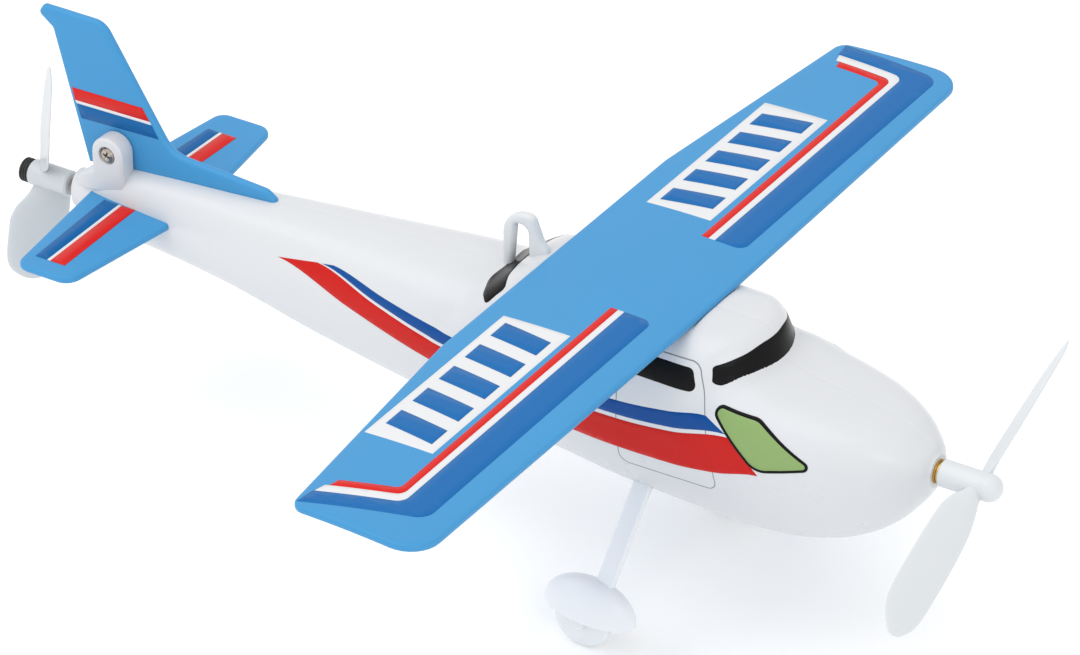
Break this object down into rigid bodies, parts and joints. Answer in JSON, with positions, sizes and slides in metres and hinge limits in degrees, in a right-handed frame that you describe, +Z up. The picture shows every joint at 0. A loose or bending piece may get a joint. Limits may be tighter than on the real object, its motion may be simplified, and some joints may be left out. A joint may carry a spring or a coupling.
{
  "type": "rubber band plane",
  "caption": "Toy high-wing aeroplane with a rubber band motor, propellers at nose and tail, clamped fin, spatted wheels and a hanging loop.",
  "frame": {"origin": "on the ground under the wheels, half-way along the model from the nose propeller's tip to the tail cap, in the plane of symmetry", "axes": "+X out of the nose along the propeller shafts, +Y to the port wing tip, +Z up"},
  "size_m": [0.3115, 0.2792, 0.1184],
  "materials": {
    "body_white": "gloss",
    "wing_blue": "satin",
    "clear_white": "gloss",
    "prop_grey": "gloss",
    "brass": "polished",
    "steel": "polished",
    "black_rubber": "matt",
    "band_rubber": "matt"
  },
  "bodies": {
    "airframe": {"fuselage_left": "body_white", "fuselage_right": "body_white", "wing": "wing_blue", "fin": "wing_blue", "tailplane": "wing_blue", "tail_screw": "steel", "hang_loop": "clear_white", "nose_bush": "brass", "nose_washer": "brass", "tail_bush": "steel", "tail_washer": "steel", "rubber_band": "band_rubber", "leg_left": "clear_white", "leg_right": "clear_white", "axle_pin_left": "clear_white", "axle_pin_right": "clear_white"},
    "nose_prop": {"nose_propeller": "clear_white", "nose_shaft": "steel"},
    "tail_prop": {"tail_propeller": "prop_grey", "tail_propeller_sleeve": "steel", "tail_cap": "black_rubber", "tail_shaft": "steel"},
    "left_wheel": {"wheel_left": "clear_white"},
    "right_wheel": {"wheel_right": "clear_white"}
  },
  "joints": [
    {"name": "nose_spin", "type": "hinge", "parent": "airframe", "child": "nose_prop", "pos_m": [0.14, 0, 0.0625], "axis": [1, 0, 0], "continuous": true, "deforming": ["rubber_band"]},
    {"name": "tail_spin", "type": "hinge", "parent": "airframe", "child": "tail_prop", "pos_m": [-0.14, 0, 0.0625], "axis": [1, 0, 0], "continuous": true, "deforming": ["rubber_band"]},
    {"name": "left_wheel_spin", "type": "hinge", "parent": "airframe", "child": "left_wheel", "pos_m": [0.0535, 0.038, 0.0085], "axis": [0, 1, 0], "continuous": true},
    {"name": "right_wheel_spin", "type": "hinge", "parent": "airframe", "child": "right_wheel", "pos_m": [0.0535, -0.038, 0.0085], "axis": [0, 1, 0], "continuous": true}
  ]
}
